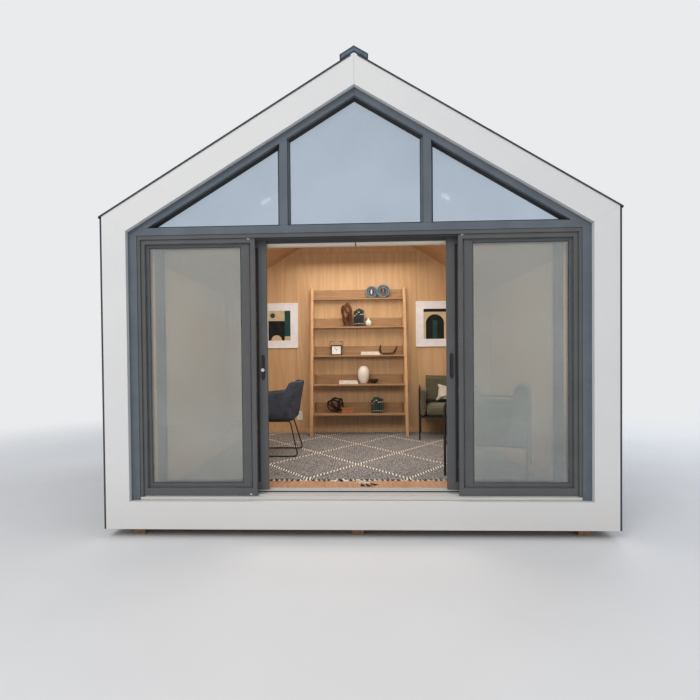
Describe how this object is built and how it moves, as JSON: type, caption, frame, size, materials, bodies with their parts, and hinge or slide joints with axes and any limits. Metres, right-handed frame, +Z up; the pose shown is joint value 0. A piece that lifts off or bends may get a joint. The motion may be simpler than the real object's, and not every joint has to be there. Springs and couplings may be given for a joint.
{
  "type": "garden office pod",
  "caption": "Gable-roofed garden office pod with a glazed gable, centre-opening sliding glass doors, insect screens and a plywood-lined room behind.",
  "frame": {"origin": "on the level ground under the middle of the pod's box", "axes": "+X to the right seen from the front, +Y from the glazed front to the back wall, +Z up"},
  "size_m": [3.869, 3.362, 3.647],
  "materials": {
    "treated_timber": "rough sawn",
    "floor_oak": "satin lacquer",
    "wall_core": "raw panel",
    "charcoal_cladding": "matt",
    "birch_plywood": "clear matt lacquer",
    "dark_flashing": "matt",
    "shingle": "mineral granules",
    "white_board": "satin",
    "dark_trim": "matt",
    "slate_frame": "satin powder coat",
    "clear_glass": "clear",
    "dark_frame": "satin powder coat",
    "sill_aluminium": "anodised",
    "black_handle": "satin",
    "insect_mesh": "woven glass fibre",
    "blind_fabric": "matt",
    "lamp_lens": "opal",
    "case_oak": "oiled",
    "picture_frame": "white lacquer",
    "rug_wool": "flat weave",
    "navy_fabric": "felted wool",
    "black_steel": "satin powder coat",
    "olive_fabric": "woven"
  },
  "bodies": {
    "pod": {"floor_skids": "treated_timber", "floor_cassette": "treated_timber", "floor_boards": "floor_oak", "left_wall": "wall_core", "right_wall": "wall_core", "back_wall": "wall_core", "side_cladding": "charcoal_cladding", "back_cladding": "charcoal_cladding", "side_linings": "birch_plywood", "back_lining": "birch_plywood", "ceiling_linings": "birch_plywood", "skirting": "birch_plywood", "right_roof_panel": "wall_core", "left_roof_panel": "wall_core", "roof_edge_trims": "dark_flashing", "roof_shingles": "shingle", "ridge_cap": "shingle", "post_boards": "white_board", "rake_boards": "white_board", "bottom_board": "white_board", "back_corner_trims": "dark_trim", "back_rake_trims": "dark_trim", "gable_glass": "clear_glass", "frame_posts": "slate_frame", "gable_rafters": "slate_frame", "gable_transom": "slate_frame", "gable_mullions": "slate_frame", "door_head": "dark_frame", "door_sill": "sill_aluminium", "door_jambs": "dark_frame", "fixed_panel_frames": "dark_frame", "fixed_panel_glass": "clear_glass", "blind_cassettes": "blind_fabric", "ceiling_lights": "lamp_lens", "bookcase_posts": "case_oak", "bookcase_shelves": "case_oak", "wall_pictures": "picture_frame", "rug": "rug_wool", "desk_chair_shell": "navy_fabric", "desk_chair_base": "black_steel", "armchair_frames": "black_steel", "armchair_decks": "black_steel", "armchair_cushions": "olive_fabric"},
    "left_door": {"left_door_frame": "dark_frame", "left_door_glass": "clear_glass", "left_door_handle": "black_handle"},
    "right_door": {"right_door_frame": "dark_frame", "right_door_glass": "clear_glass", "right_door_handle": "black_handle"},
    "left_screen": {"left_screen_frame": "dark_frame", "left_screen_mesh": "insect_mesh"},
    "right_screen": {"right_screen_frame": "dark_frame", "right_screen_mesh": "insect_mesh"}
  },
  "joints": [
    {"name": "left_door_slide", "type": "slide", "parent": "pod", "child": "left_door", "axis": [1, 0, 0], "range_m": [0, 0.687]},
    {"name": "right_door_slide", "type": "slide", "parent": "pod", "child": "right_door", "axis": [-1, 0, 0], "range_m": [0, 0.687]},
    {"name": "left_screen_slide", "type": "slide", "parent": "pod", "child": "left_screen", "axis": [1, 0, 0], "range_m": [0, 0.76]},
    {"name": "right_screen_slide", "type": "slide", "parent": "pod", "child": "right_screen", "axis": [-1, 0, 0], "range_m": [0, 0.76]}
  ]
}
